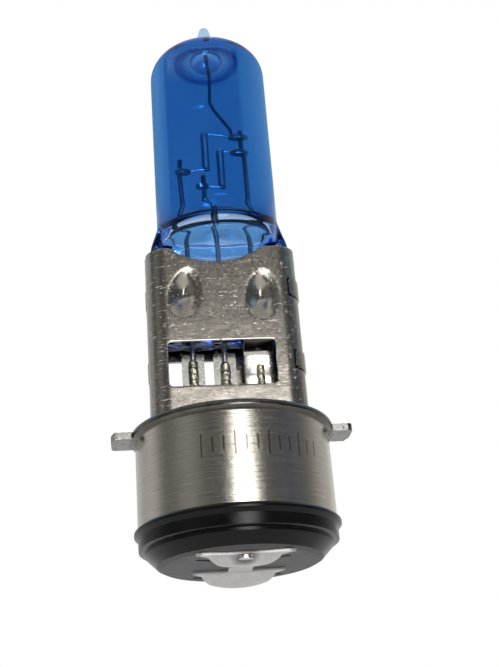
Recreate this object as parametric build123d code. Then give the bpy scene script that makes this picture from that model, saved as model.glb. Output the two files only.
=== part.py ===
from build123d import *
import os
from math import sqrt

# Twin-filament headlight bulb on a 20 mm bayonet cap. Millimetres.
# The origin is on the cap's axis, in the plane of the ears' underside, where they seat in the socket.
# +Z runs up to the glass tip, X runs along the ears and the pinch's width, and -Y is the side with the
# front holder.

# cap shell and bayonet collar
CAP_RADIUS = 10.0
SHELL_WALL = 0.4
SHELL_LENGTH = 9.05
RING_PROUD = 0.5
RING_DROP = 0.15
RING_THICK = 1.0
RING_ROUND = 0.45
EAR_REACH = 2.45
EAR_WIDTH = 3.7
EAR_THICK = 0.75
EAR_LEAD_LENGTH = 1.2
EAR_LEAD_DEPTH = 0.4
EAR_CORNER = 0.5
LEAD_OPENING_LENGTH = 13.0
LEAD_OPENING_WIDTH = 3.6
LEAD_OPENING_CORNER = 1.2

# moulded insulator, measured down from the shell's lower edge and in from the barrel
LIP_PROUD = 0.4
LIP_HEIGHT = 0.5
LIP_CHAMFER = 0.25
WALL_DROP = 2.0
STEP_IN = 0.6
STEP_HEIGHT = 0.45
FACE_IN = 1.7
FACE_DROP = 3.8
FACE_EDGE = 0.5
PLUG_HEIGHT = 2.7

# contact plates under the insulator
CONTACT_LENGTH = 9.4
CONTACT_DEPTH = 4.7
CONTACT_SHEET = 0.3
CONTACT_CORNER = 0.5
DOME_LENGTH = 8.4
DOME_WIDTH = 4.2
DOME_SETBACK = 0.25
MAIN_CONTACT_FRONT = -6.9
MAIN_CONTACT_DROP = 1.0
DIP_CONTACT_FRONT = 1.6
DIP_CONTACT_DROP = 1.4
CONTACT_TAB_LENGTH = 2.3
CONTACT_TAB_WIDTH = 2.4
LOCATING_SLOT = (1.8, 0.6, 1.0)
LOCATING_SLOT_X = 3.7
LOCATING_SLOT_BACK = 3.5
LOCATING_SLOT_TURN = 22.0
SOLDER_RADIUS = 0.75
SOLDER_DROP = 0.45

# sheet metal holder: two halves alike but for their windows and the front one's earth tongue
HOLDER_WIDTH = 16.5
HOLDER_DEPTH = 5.4
HOLDER_SIDE_FLAT = 1.0
HOLDER_SHEET = 0.35
HOLDER_TOP = 21.35
HOLDER_SPLIT = 0.1
SADDLE_WIDTH = 10.2
SADDLE_DEPTH = 1.8
SADDLE_SHIFT = -0.6
FOOT_WIDTH = 1.0
FRONT_WINDOW = (-6.3, 5.1)  # left and right edge
REAR_WINDOW = (-6.4, 1.1)
WINDOW_BOTTOM = 5.2
FRONT_WINDOW_TOP = 10.3
REAR_WINDOW_TOP = 9.95
WINDOW_CORNER = 0.5
LUG_FOLD = 1.3
LUG_BOTTOMS = (6.8, 15.3)
LUG_HEIGHT = 2.25
LUG_CLEARANCE = 0.12
LUG_PROUD = 0.15
LUG_ROOT = 0.7
DIMPLE_HEIGHT = 5.8
DIMPLE_RADIUS = 1.75
DIMPLE_GAP = 0.03
DIMPLE_PLACES = ((-4.15, 16.0, 12.0), (4.15, 15.6, 8.0))  # x, z and lean in degrees
DIMPLE_OUTLINE = ((0, -1), (0.8, -0.75), (1, -0.35), (0.85, 0.35), (0.45, 0.85), (0, 1))  # of radius, half
TONGUE_WIDTH = 3.2
TONGUE_SIDE_GAP = 0.1
TONGUE_BOTTOM = 5.8
TONGUE_BEND_DROP = 0.7
TONGUE_ROOT = 0.3

# glass capsule
GLASS_RADIUS = 6.8
GLASS_WALL = 0.9
GLASS_SHOULDER = 22.2
GLASS_SHOULDER_ROUND = 1.4
GLASS_KNUCKLE_Z = 45.4
GLASS_KNUCKLE_RADIUS = 2.9
GLASS_CROWN_RADIUS = 8.46
CAVITY_FLOOR = 24.3
CAVITY_FLOOR_ROUND = 1.2
NIPPLE_BASE_RADIUS = 1.9
NIPPLE_END_RADIUS = 0.75
NIPPLE_LENGTH = 3.65
NIPPLE_WAIST = (0.6, 0.4)  # shares of the base radius and the length
PINCH_SIDE_GAP = 0.25
PINCH_THICK = 3.0
PINCH_BOTTOM = 10.6
PINCH_FLARE_BOTTOM = 22.3
PINCH_FLARE_TOP = 25.4
PINCH_EDGE = 0.6

# wires, foils, filaments and clamps, all in the mid plane
WIRE_RADIUS = 0.275
WIRE_BEND = 0.8
ANCHOR_RADIUS = 0.2
FILAMENT_WIRE_RADIUS = 0.1
COIL_RADIUS = 0.43
COIL_WALL = 0.2
LINES = {"main": -3.57, "dip": -0.16, "common": 3.5}  # x of each circuit's foil and lead-out
FOIL_WIDTH = 2.2
FOIL_THICK = 0.1
FOIL_LENGTH = 6.0
FOIL_RISE = 2.9
ANCHOR_SEAL = 0.7
MAIN_COIL = (-0.8, 32.6, 37.75)  # x, bottom and top
DIP_COIL = (0.9, 30.15, 35.3)
CLAMPS = {  # x of the wire it holds, height of its middle, reach to the left and to the right
    "main_clamp": (-3.9, 32.4, 0.5, 1.3),
    "dip_clamp": (-1.2, 30.4, 0.9, 0.6),
    "upper_common_clamp": (3.45, 37.1, 1.45, 0.9),
    "lower_common_clamp": (3.56, 34.9, 1.46, 0.64),
}
CLAMP_DEPTH = 0.9
CLAMP_HEIGHT = 0.6
LEG_GAP = 0.1
SUPPORT_ROUTES = {  # x and z of the bends above each foil
    "main": ((-3.57, 24.8), (-3.4, 27.0), (-3.75, 28.9), (-3.9, 32.3), (-3.75, 34.0)),
    "dip": ((-0.16, 25.0), (-0.4, 26.3), (-1.15, 27.4), (-1.2, 31.8)),
    "common": ((3.5, 22.0), (3.6, 23.9), (3.28, 26.6), (3.75, 29.2), (3.7, 34.3), (3.42, 35.5), (3.45, 37.9)),
}
ANCHOR_ROUTE = ((2.42, 37.4), (2.35, 38.2), (0.75, 40.7), (0.12, 42.1), (0.3, 45.7))

# terminal strips and welds
STRIP_WIDTH = 2.4
STRIP_SHEET = 0.3
STRIP_GAP_TO_PINCH = 0.6
STRIP_BEND_TOP = -0.6
STRIP_BEND_RISE = 0.9
TAIL_WIDTH = 1.2
TAIL_HOLE_CLEARANCE = 0.1
TAIL_REACH = 0.25
TAIL_BACK = 0.75
LEAD_BOTTOM = 5.7
WELD_GAP = 0.05
WELD_RADIUS = 0.5
WELD_TOPS = {"main": 9.0, "dip": 8.7, "common": 8.2}
COMMON_WELD_Y = -0.4

# places that follow from the sizes above
RING_BOTTOM = -RING_DROP
RING_TOP = RING_BOTTOM + RING_THICK
RING_RADIUS = CAP_RADIUS + RING_PROUD
SHELL_INNER = CAP_RADIUS - SHELL_WALL
LIP_RADIUS = CAP_RADIUS + LIP_PROUD
LIP_TOP = RING_BOTTOM - SHELL_LENGTH
LIP_BOTTOM = LIP_TOP - LIP_HEIGHT
WALL_BOTTOM = LIP_TOP - WALL_DROP
STEP_RADIUS = CAP_RADIUS - STEP_IN
STEP_BOTTOM = WALL_BOTTOM - STEP_HEIGHT
FACE_RADIUS = CAP_RADIUS - FACE_IN
INSULATOR_BOTTOM = LIP_TOP - FACE_DROP
PLUG_TOP = LIP_TOP + PLUG_HEIGHT
CONTACT_BOTTOM = INSULATOR_BOTTOM - CONTACT_SHEET
HOLDER_CORNER = (HOLDER_DEPTH - HOLDER_SIDE_FLAT) / 2
LUG_FOLD_X = HOLDER_WIDTH / 2 - LUG_FOLD
DIMPLE_DEPTH = (HOLDER_DEPTH - PINCH_THICK) / 2 - HOLDER_SHEET - DIMPLE_GAP
TONGUE_BEND = FRONT_WINDOW_TOP - TONGUE_BEND_DROP
PINCH_WIDTH = HOLDER_WIDTH - 2 * (HOLDER_SHEET + PINCH_SIDE_GAP)
FOIL_BOTTOM = PINCH_BOTTOM + FOIL_RISE
FOIL_TOP = FOIL_BOTTOM + FOIL_LENGTH
STRIP_FRONT = WIRE_RADIUS + WELD_GAP
STRIP_Y = STRIP_FRONT + STRIP_SHEET / 2
STRIP_TOP = PINCH_BOTTOM - STRIP_GAP_TO_PINCH
STRIP_BEND_BOTTOM = PLUG_TOP + STRIP_BEND_RISE
MAIN_TAIL_Y = MAIN_CONTACT_FRONT + TAIL_BACK
DIP_TAIL_Y = DIP_CONTACT_FRONT + CONTACT_DEPTH - TAIL_BACK
CROWN_OFFSET = sqrt((GLASS_CROWN_RADIUS - GLASS_KNUCKLE_RADIUS) ** 2
                    - (GLASS_RADIUS - GLASS_KNUCKLE_RADIUS) ** 2)
CROWN_CENTRE = GLASS_KNUCKLE_Z - CROWN_OFFSET
CAVITY_TOP = CROWN_CENTRE + GLASS_CROWN_RADIUS - GLASS_WALL
BIG = 4 * CAP_RADIUS


def block(x0, x1, y0, y1, z0, z1):
    """Plain block between two opposite corners."""
    centre = Pos((x0 + x1) / 2, (y0 + y1) / 2, (z0 + z1) / 2)
    return centre * Box(x1 - x0, y1 - y0, z1 - z0)


def wire(points, radius=WIRE_RADIUS, bend=WIRE_BEND):
    """Round wire along points given as (x, z) in the mid plane, with rounded bends."""
    corners = [(x, 0, z) for x, z in points]
    if len(corners) > 2:
        path = FilletPolyline(*corners, radius=bend)
    else:
        path = Line(*corners)
    return sweep(Plane(origin=path @ 0, z_dir=path % 0) * Circle(radius), path=path)


# cap
def make_cap_shell():
    height = RING_BOTTOM - LIP_TOP
    middle = Pos(0, 0, LIP_TOP + height / 2)
    return middle * (Cylinder(CAP_RADIUS, height) - Cylinder(SHELL_INNER, height))


def make_bayonet_collar():
    ring = Pos(0, 0, RING_BOTTOM + RING_THICK / 2) * Cylinder(RING_RADIUS, RING_THICK)
    ring = fillet(ring.edges().filter_by(GeomType.CIRCLE), RING_ROUND)
    ear = block(SHELL_INNER, CAP_RADIUS + EAR_REACH, -EAR_WIDTH / 2, EAR_WIDTH / 2, 0, EAR_THICK)
    tip = ear.edges().filter_by(Axis.Z).sort_by(Axis.X)[-2:].sort_by(Axis.Y)
    ear = chamfer(tip[-1:], EAR_LEAD_LENGTH, EAR_LEAD_DEPTH)
    trailing = ear.edges().filter_by(Axis.Z).sort_by(Axis.X)[-2:].sort_by(Axis.Y)
    ear = fillet(trailing[:1], EAR_CORNER)
    for turn in (0, 180):
        ring += Rot(0, 0, turn) * ear
    opening = RectangleRounded(LEAD_OPENING_LENGTH, LEAD_OPENING_WIDTH, LEAD_OPENING_CORNER)
    return ring - Pos(0, 0, RING_BOTTOM) * extrude(opening, RING_THICK)


def insulator_body():
    rise = STEP_IN / 2
    outline = [
        (0, INSULATOR_BOTTOM), (FACE_RADIUS - FACE_EDGE, INSULATOR_BOTTOM),
        (FACE_RADIUS, INSULATOR_BOTTOM + FACE_EDGE / 2), (STEP_RADIUS - rise, STEP_BOTTOM - rise),
        (STEP_RADIUS, STEP_BOTTOM), (STEP_RADIUS, WALL_BOTTOM - rise / 2),
        (CAP_RADIUS, WALL_BOTTOM), (LIP_RADIUS, LIP_BOTTOM), (LIP_RADIUS, LIP_TOP - LIP_CHAMFER),
        (LIP_RADIUS - LIP_CHAMFER, LIP_TOP), (SHELL_INNER, LIP_TOP), (SHELL_INNER, PLUG_TOP),
        (0, PLUG_TOP),
    ]
    return revolve(Plane.XZ * make_face(Polyline(*outline, close=True)), Axis.Z)


def tail_hole(tail_y):
    """Slot through the insulator for a strip's tail."""
    half_x = TAIL_WIDTH / 2 + TAIL_HOLE_CLEARANCE
    half_y = STRIP_SHEET / 2 + TAIL_HOLE_CLEARANCE
    return block(-half_x, half_x, tail_y - half_y, tail_y + half_y, INSULATOR_BOTTOM, PLUG_TOP)


def make_base_insulator():
    body = insulator_body()
    for tail_y in (MAIN_TAIL_Y, DIP_TAIL_Y):
        body -= tail_hole(tail_y)
    for front in (MAIN_CONTACT_FRONT, DIP_CONTACT_FRONT):
        for side in (-1, 1):
            place = Pos(side * LOCATING_SLOT_X, front + LOCATING_SLOT_BACK, INSULATOR_BOTTOM)
            body -= place * Rot(0, 0, -side * LOCATING_SLOT_TURN) * Box(*LOCATING_SLOT)
    return body


def contact_plate(front, drop, tail):
    """Thin plate with a straight front edge, a curved back edge and a domed middle."""
    oval = Pos(0, front) * Ellipse(CONTACT_LENGTH / 2, CONTACT_DEPTH)
    outline = oval & Pos(0, front + CONTACT_DEPTH / 2) * Rectangle(CONTACT_LENGTH, CONTACT_DEPTH)
    corners = outline.vertices().sort_by(Axis.Y)[:2]
    outline = fillet(corners, CONTACT_CORNER)
    plate = Pos(0, 0, CONTACT_BOTTOM) * extrude(outline, CONTACT_SHEET)
    middle = Pos(0, front + DOME_SETBACK + DOME_WIDTH / 2, INSULATOR_BOTTOM)
    dome = middle * scale(Sphere(1), (DOME_LENGTH / 2, DOME_WIDTH / 2, drop))
    dome &= block(-BIG, BIG, -BIG, BIG, -BIG, INSULATOR_BOTTOM)
    return plate + dome - tail


def make_dip_contact(tail):
    plate = contact_plate(DIP_CONTACT_FRONT, DIP_CONTACT_DROP, tail)
    return plate + block(-CONTACT_TAB_WIDTH / 2, CONTACT_TAB_WIDTH / 2,
                         DIP_CONTACT_FRONT - CONTACT_TAB_LENGTH, DIP_CONTACT_FRONT + CONTACT_CORNER,
                         CONTACT_BOTTOM, INSULATOR_BOTTOM)


def make_solder(tail_y, tail, plate):
    """Low solder button over the end of a strip's tail."""
    button = Pos(0, tail_y, CONTACT_BOTTOM) * Sphere(SOLDER_RADIUS)
    button &= block(-BIG, BIG, -BIG, BIG, CONTACT_BOTTOM - SOLDER_DROP, CONTACT_BOTTOM)
    return button - tail - plate


# holder
def holder_sheet(proud=0.0):
    """Closed tube of sheet metal that both halves are cut from."""
    outer = RectangleRounded(HOLDER_WIDTH + 2 * proud, HOLDER_DEPTH + 2 * proud, HOLDER_CORNER + proud)
    inner = RectangleRounded(HOLDER_WIDTH - 2 * HOLDER_SHEET, HOLDER_DEPTH - 2 * HOLDER_SHEET,
                             HOLDER_CORNER - HOLDER_SHEET)
    return Pos(0, 0, RING_TOP) * extrude(outer - inner, HOLDER_TOP - RING_TOP)


def holder_foot():
    outer = RectangleRounded(HOLDER_WIDTH + 2 * FOOT_WIDTH, HOLDER_DEPTH + 2 * FOOT_WIDTH,
                             HOLDER_CORNER + FOOT_WIDTH)
    inner = RectangleRounded(HOLDER_WIDTH - HOLDER_SHEET, HOLDER_DEPTH - HOLDER_SHEET, HOLDER_CORNER)
    return Pos(0, 0, RING_TOP) * extrude(outer - inner, HOLDER_SHEET)


def dimple_body(radius, x, z, lean):
    """Drop-shaped tool whose axis stands in front of the sheet."""
    half = DIMPLE_HEIGHT / 2 + radius - DIMPLE_RADIUS
    drop = Pos(x, -HOLDER_DEPTH / 2 - DIMPLE_RADIUS + DIMPLE_DEPTH, z) * Rot(0, lean, 0)
    outline = Polyline(*[(radius * out, half * up) for out, up in DIMPLE_OUTLINE], close=True)
    return drop * revolve(Plane.XZ * make_face(outline), Axis.Z)


def make_holder_half(window, window_top):
    """Front half with its slots at +X and its lugs at -X; turned half round it is the rear half."""
    gap = HOLDER_SPLIT / 2
    half = (holder_sheet() + holder_foot()) & block(-BIG, BIG, -BIG, -gap, -BIG, BIG)
    opening = RectangleRounded(window[1] - window[0], window_top - WINDOW_BOTTOM, WINDOW_CORNER)
    place = Pos((window[0] + window[1]) / 2, 0, (WINDOW_BOTTOM + window_top) / 2)
    half -= place * Rot(90, 0, 0) * extrude(opening, BIG)
    saddle_radius = (SADDLE_WIDTH ** 2 / 4 + SADDLE_DEPTH ** 2) / (2 * SADDLE_DEPTH)
    half -= (Pos(SADDLE_SHIFT, 0, HOLDER_TOP - SADDLE_DEPTH + saddle_radius)
             * Rot(90, 0, 0) * Cylinder(saddle_radius, BIG))
    front = -HOLDER_DEPTH / 2
    for x, z, lean in DIMPLE_PLACES:
        tool = dimple_body(DIMPLE_RADIUS, x, z, lean)
        skin = dimple_body(DIMPLE_RADIUS + HOLDER_SHEET, x, z, lean)
        half += skin & block(-BIG, BIG, front + HOLDER_SHEET / 2, 0, 0, HOLDER_TOP)
        half -= tool
    proud_sheet = holder_sheet(LUG_PROUD)
    for bottom in LUG_BOTTOMS:
        half -= block(LUG_FOLD_X, BIG, -BIG, 0, bottom, bottom + LUG_HEIGHT)
        half += proud_sheet & block(-BIG, -LUG_FOLD_X - LUG_CLEARANCE, -LUG_ROOT, BIG,
                                    bottom + LUG_CLEARANCE, bottom + LUG_HEIGHT - LUG_CLEARANCE)
    return half


def make_tongue():
    """Earth tongue, bent in from the front window's upper edge and down in front of the common lead-out."""
    face = -WIRE_RADIUS - WELD_GAP - HOLDER_SHEET
    wall = -HOLDER_DEPTH / 2
    top, root = FRONT_WINDOW_TOP + TONGUE_ROOT, FRONT_WINDOW_TOP
    outline = Polyline(
        (wall, top), (wall, root), (face, TONGUE_BEND), (face, TONGUE_BOTTOM),
        (face + HOLDER_SHEET, TONGUE_BOTTOM), (face + HOLDER_SHEET, TONGUE_BEND + HOLDER_SHEET / 2),
        (wall + HOLDER_SHEET, root + HOLDER_SHEET / 2), (wall + HOLDER_SHEET, top), close=True)
    tongue = extrude(Plane.YZ * make_face(outline), TONGUE_WIDTH / 2, both=True)
    return Pos(FRONT_WINDOW[1] - TONGUE_SIDE_GAP - TONGUE_WIDTH / 2, 0, 0) * tongue


def make_front_holder(weld):
    return make_holder_half(FRONT_WINDOW, FRONT_WINDOW_TOP) + make_tongue() - weld


def make_rear_holder():
    window = (-REAR_WINDOW[1], -REAR_WINDOW[0])
    return Rot(0, 0, 180) * make_holder_half(window, REAR_WINDOW_TOP)


# glass
def glass_outline(inset, bottom, corner):
    """Edges of the tube and dome in (x, z), set in from the outside by a wall thickness."""
    side = GLASS_RADIUS - inset
    knuckle = GLASS_KNUCKLE_RADIUS - inset
    crown = GLASS_CROWN_RADIUS - inset
    knuckle_x = side - knuckle
    out_x = knuckle_x / (GLASS_CROWN_RADIUS - GLASS_KNUCKLE_RADIUS)
    out_z = CROWN_OFFSET / (GLASS_CROWN_RADIUS - GLASS_KNUCKLE_RADIUS)
    join = (knuckle_x + knuckle * out_x, GLASS_KNUCKLE_Z + knuckle * out_z)
    top = (0, CROWN_CENTRE + crown)
    floor = Line((0, bottom), (side - corner, bottom))
    foot = RadiusArc((side - corner, bottom), (side, bottom + corner), -corner)
    wall = Line((side, bottom + corner), (side, GLASS_KNUCKLE_Z))
    shoulder = RadiusArc((side, GLASS_KNUCKLE_Z), join, -knuckle)
    dome = RadiusArc(join, top, -crown)
    return make_face([floor, foot, wall, shoulder, dome, Line(top, (0, bottom))])


def glass_nipple():
    base_z = CROWN_CENTRE + sqrt((GLASS_CROWN_RADIUS - GLASS_WALL / 2) ** 2 - NIPPLE_BASE_RADIUS ** 2)
    tip_z = CROWN_CENTRE + GLASS_CROWN_RADIUS + NIPPLE_LENGTH
    neck_z = tip_z - NIPPLE_END_RADIUS
    waist = (NIPPLE_BASE_RADIUS * NIPPLE_WAIST[0], base_z + NIPPLE_LENGTH * NIPPLE_WAIST[1])
    neck = ThreePointArc((NIPPLE_BASE_RADIUS, base_z), waist, (NIPPLE_END_RADIUS, neck_z))
    cap = RadiusArc((NIPPLE_END_RADIUS, neck_z), (0, tip_z), -NIPPLE_END_RADIUS)
    outline = make_face([neck, cap, Line((0, tip_z), (0, base_z)),
                         Line((0, base_z), (NIPPLE_BASE_RADIUS, base_z))])
    return revolve(Plane.XZ * outline, Axis.Z)


def make_glass_capsule(sealed_in):
    tube = revolve(Plane.XZ * glass_outline(0, GLASS_SHOULDER, GLASS_SHOULDER_ROUND), Axis.Z)
    half = PINCH_WIDTH / 2
    narrow = GLASS_RADIUS - GLASS_WALL / 2
    blade = Polyline((-half, PINCH_BOTTOM), (half, PINCH_BOTTOM), (half, PINCH_FLARE_BOTTOM),
                     (narrow, PINCH_FLARE_TOP), (-narrow, PINCH_FLARE_TOP), (-half, PINCH_FLARE_BOTTOM),
                     close=True)
    pinch = extrude(Plane.XZ * make_face(blade), PINCH_THICK / 2, both=True)
    long_edges = pinch.edges().filter_by(Axis.Z)
    pinch = fillet(long_edges, PINCH_EDGE)
    cavity = revolve(Plane.XZ * glass_outline(GLASS_WALL, CAVITY_FLOOR, CAVITY_FLOOR_ROUND), Axis.Z)
    glass = tube + glass_nipple() + pinch - cavity
    for piece in sealed_in:
        glass -= piece
    return glass


# wires, foils, filaments and clamps
def make_foil(x):
    half_width, half_thick = FOIL_WIDTH / 2, FOIL_THICK / 2
    return block(x - half_width, x + half_width, -half_thick, half_thick, FOIL_BOTTOM, FOIL_TOP)


def make_filament(coil, lower_clamp, upper_clamp):
    """Close-wound coil as a thin tube, with a straight leg to a clamp at each end."""
    x, bottom, top = coil
    height = top - bottom
    tube = Cylinder(COIL_RADIUS, height) - Cylinder(COIL_RADIUS - COIL_WALL, height)
    filament = Pos(x, 0, (top + bottom) / 2) * tube
    reach = COIL_RADIUS - COIL_WALL / 2
    starts = {lower_clamp: bottom + FILAMENT_WIRE_RADIUS, upper_clamp: top - FILAMENT_WIRE_RADIUS}
    for clamp, start_z in starts.items():
        held_x, clamp_z = CLAMPS[clamp][:2]
        side = 1 if held_x > x else -1
        end_x = held_x - side * (WIRE_RADIUS + LEG_GAP)
        filament += wire([(x + side * reach, start_z), (end_x, clamp_z)], FILAMENT_WIRE_RADIUS)
    return filament


def make_clamp(name, held):
    """Folded tab round a support wire and a filament leg."""
    x, z, to_left, to_right = CLAMPS[name]
    half_deep, half_high = CLAMP_DEPTH / 2, CLAMP_HEIGHT / 2
    clamp = block(x - to_left, x + to_right, -half_deep, half_deep, z - half_high, z + half_high)
    for piece in held:
        clamp -= piece
    return clamp


# terminal strips
def make_tail(tail_y):
    return block(-TAIL_WIDTH / 2, TAIL_WIDTH / 2, tail_y - STRIP_SHEET / 2, tail_y + STRIP_SHEET / 2,
                 CONTACT_BOTTOM - TAIL_REACH, STRIP_BEND_BOTTOM)


def make_strip(x, tail_y):
    """Strip that runs down behind a lead-out wire and leans over to its contact."""
    upright = block(x - STRIP_WIDTH / 2, x + STRIP_WIDTH / 2, STRIP_FRONT, STRIP_FRONT + STRIP_SHEET,
                    STRIP_BEND_TOP, STRIP_TOP)
    lean = loft([Pos(x, STRIP_Y, STRIP_BEND_TOP) * Rectangle(STRIP_WIDTH, STRIP_SHEET),
                 Pos(0, tail_y, STRIP_BEND_BOTTOM) * Rectangle(TAIL_WIDTH, STRIP_SHEET)])
    return upright + lean + make_tail(tail_y)


def make_weld(x, top, y=0.0):
    """Weld bead along the end of a lead-out wire, rounded at both ends."""
    height = top - LEAD_BOTTOM
    bead = Pos(x, y, LEAD_BOTTOM + height / 2) * Cylinder(WELD_RADIUS, height)
    return fillet(bead.edges().filter_by(GeomType.CIRCLE), WELD_RADIUS / 2)


def add_cap(parts):
    parts["cap_shell"] = make_cap_shell()
    parts["bayonet_collar"] = make_bayonet_collar()
    parts["base_insulator"] = make_base_insulator()
    parts["main_strip"] = make_strip(LINES["main"], MAIN_TAIL_Y)
    parts["dip_strip"] = make_strip(LINES["dip"], DIP_TAIL_Y)
    parts["main_contact"] = contact_plate(MAIN_CONTACT_FRONT, MAIN_CONTACT_DROP, parts["main_strip"])
    parts["dip_contact"] = make_dip_contact(parts["dip_strip"])
    parts["main_solder"] = make_solder(MAIN_TAIL_Y, parts["main_strip"], parts["main_contact"])
    parts["dip_solder"] = make_solder(DIP_TAIL_Y, parts["dip_strip"], parts["dip_contact"])


def add_burner(parts):
    for line, x in LINES.items():
        parts[line + "_foil"] = make_foil(x)
        parts[line + "_lead"] = wire([(x, LEAD_BOTTOM), (x, FOIL_BOTTOM)])
        parts[line + "_support"] = wire([(x, FOIL_TOP), *SUPPORT_ROUTES[line]])
    parts["tip_anchor"] = wire([*ANCHOR_ROUTE, (0, CAVITY_TOP + ANCHOR_SEAL)], ANCHOR_RADIUS)
    sealed_in = list(parts.values())

    parts["main_filament"] = make_filament(MAIN_COIL, "main_clamp", "upper_common_clamp")
    parts["dip_filament"] = make_filament(DIP_COIL, "dip_clamp", "lower_common_clamp")
    held = {
        "main_clamp": ("main_support", "main_filament"),
        "dip_clamp": ("dip_support", "dip_filament"),
        "upper_common_clamp": ("common_support", "main_filament", "tip_anchor"),
        "lower_common_clamp": ("common_support", "dip_filament"),
    }
    for clamp, names in held.items():
        parts[clamp] = make_clamp(clamp, [parts[name] for name in names])
    parts["glass_capsule"] = make_glass_capsule(sealed_in)


def add_holder_and_welds(parts):
    for line in ("main", "dip"):
        bead = make_weld(LINES[line], WELD_TOPS[line])
        parts[line + "_weld"] = bead - parts[line + "_lead"] - parts[line + "_strip"]
    nugget = make_weld(LINES["common"], WELD_TOPS["common"], COMMON_WELD_Y)
    parts["common_weld"] = nugget - parts["common_lead"]
    parts["front_holder"] = make_front_holder(nugget)
    parts["rear_holder"] = make_rear_holder()


bulb = {}
add_burner(bulb)
add_cap(bulb)
add_holder_and_welds(bulb)
os.makedirs("parts", exist_ok=True)
for node, shape in bulb.items():
    shape.label = node
    export_step(shape, f"parts/{node}.step")
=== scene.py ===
from math import atan2, cos, hypot, pi, radians, sin, sqrt, tau

import bmesh
import bpy
from mathutils import Matrix, Vector, noise


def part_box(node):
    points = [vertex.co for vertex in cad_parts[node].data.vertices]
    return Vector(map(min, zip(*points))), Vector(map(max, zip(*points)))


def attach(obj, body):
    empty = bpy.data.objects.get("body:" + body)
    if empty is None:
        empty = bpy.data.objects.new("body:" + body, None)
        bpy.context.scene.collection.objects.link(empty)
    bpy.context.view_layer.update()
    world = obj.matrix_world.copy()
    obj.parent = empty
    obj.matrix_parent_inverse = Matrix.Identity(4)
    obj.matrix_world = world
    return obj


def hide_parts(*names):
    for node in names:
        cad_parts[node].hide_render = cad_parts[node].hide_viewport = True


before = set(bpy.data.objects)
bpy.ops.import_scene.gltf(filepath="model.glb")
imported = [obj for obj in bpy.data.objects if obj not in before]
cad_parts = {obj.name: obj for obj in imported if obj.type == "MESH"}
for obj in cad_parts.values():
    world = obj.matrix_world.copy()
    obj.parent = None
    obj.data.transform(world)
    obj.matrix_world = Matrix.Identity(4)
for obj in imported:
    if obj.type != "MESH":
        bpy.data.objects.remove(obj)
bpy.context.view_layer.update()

# A twin-filament headlight bulb. Lengths are in millimetres until finish_piece puts a piece on the frame.
MM = 0.001


def box_mm(node):
    """Lowest and highest corner of a frame node in millimetres."""
    low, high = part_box(node)
    return Vector(low) / MM, Vector(high) / MM


# ---------------------------------------------------------------- places taken from the frame
GLASS_LOW, GLASS_HIGH = box_mm("glass_capsule")
HOLDER_LOW, HOLDER_HIGH = box_mm("front_holder")
SHELL_LOW, SHELL_HIGH = box_mm("cap_shell")
INSULATOR_LOW, INSULATOR_HIGH = box_mm("base_insulator")
CAP_RADIUS = SHELL_HIGH.x
INSULATOR_FACE = INSULATOR_LOW.z
LIP_TOP = SHELL_LOW.z
LIP_RADIUS = INSULATOR_HIGH.x

# glass
GLASS_RADIUS = GLASS_HIGH.y
GLASS_WALL = 0.9
KNUCKLE_Z = 45.4
KNUCKLE_RADIUS = 2.9
CROWN_RADIUS = 8.46
CROWN_OFFSET = sqrt((CROWN_RADIUS - KNUCKLE_RADIUS) ** 2 - (GLASS_RADIUS - KNUCKLE_RADIUS) ** 2)
CROWN_CENTRE = KNUCKLE_Z - CROWN_OFFSET
NIPPLE_BASE = 1.9
NIPPLE_END = 0.62
NIPPLE_BOW = (1.2, 1.0)  # where the neck's curve is drawn to: its radius, and its height over the base
PLUG_RADIUS = 3.85
PLUG_DROP = 0.9
CORE_RADIUS = 1.75
CORE_DROP = 0.8
CAVITY_FLOOR = 24.3
CAVITY_CORNER = 1.8
SHOULDER_TOP = 25.6
SHOULDER_Z = 22.2
SHOULDER_ROUND = 1.1
SHOULDER_FILLET = 0.9
FLARE_RISE = 2.7
PINCH_HALF_WIDTH = GLASS_HIGH.x
PINCH_HALF_THICK = 1.5
PINCH_EDGE = 0.6
PINCH_TOP = 21.0
SEAL_SOFT_END = 0.3
GLASS_COLUMNS = 160
SHOULDER_ROWS = 24
SHOULDER_STEPS = (0.0, 0.12, 0.40, 0.60, 0.88, 1.0)  # where its wall, bend, slope, bend and seal begin
SEAL_ROWS = 14
SEAL_END_INSETS = (0.75, 0.4, 0.12)

# holder
SHEET = 0.35
HOLDER_SPLIT = 0.1
FOOT_WIDTH = 1.0
FOOT_BEND = 0.5
HOLDER_HALF_WIDTH = HOLDER_HIGH.x - FOOT_WIDTH
HOLDER_HALF_DEPTH = -HOLDER_LOW.y - FOOT_WIDTH
SIDE_FLAT = 1.0
CORNER = HOLDER_HALF_DEPTH - SIDE_FLAT / 2
FRONT_FLAT = HOLDER_HALF_WIDTH - CORNER
SIDE_START = FRONT_FLAT + CORNER * pi / 2
SIDE_END = SIDE_START + SIDE_FLAT
HALF_EDGE = SIDE_START + (SIDE_FLAT - HOLDER_SPLIT) / 2
FOOT_Z = HOLDER_LOW.z + SHEET
FOOT_BEND_TOP = FOOT_Z + FOOT_BEND
FOOT_RUN = FOOT_BEND * pi / 2 + FOOT_WIDTH - FOOT_BEND
SADDLE_WIDTH = 10.2
SADDLE_DEPTH = 1.8
SADDLE_SHIFT = -0.6
FRONT_WINDOW = (-6.3, 5.1, 5.2, 10.3)  # left, right, bottom and top
REAR_WINDOW = (-1.1, 6.4, 5.2, 9.95)  # as seen on that half from outside
WINDOW_CORNER = 0.5
LUG_FOLD = 1.3
LUG_BOTTOMS = (6.8, 15.3)
LUG_HEIGHT = 2.25
LUG_CLEARANCE = 0.12
LUG_PROUD = 0.15
LUG_ROOT = 0.5
LUG_CHAMFER = 0.3
DIMPLES = ((-4.15, 16.0, 12.0), (4.15, 15.6, 8.0))
DIMPLE_HALF_HEIGHT = 3.0
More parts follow.
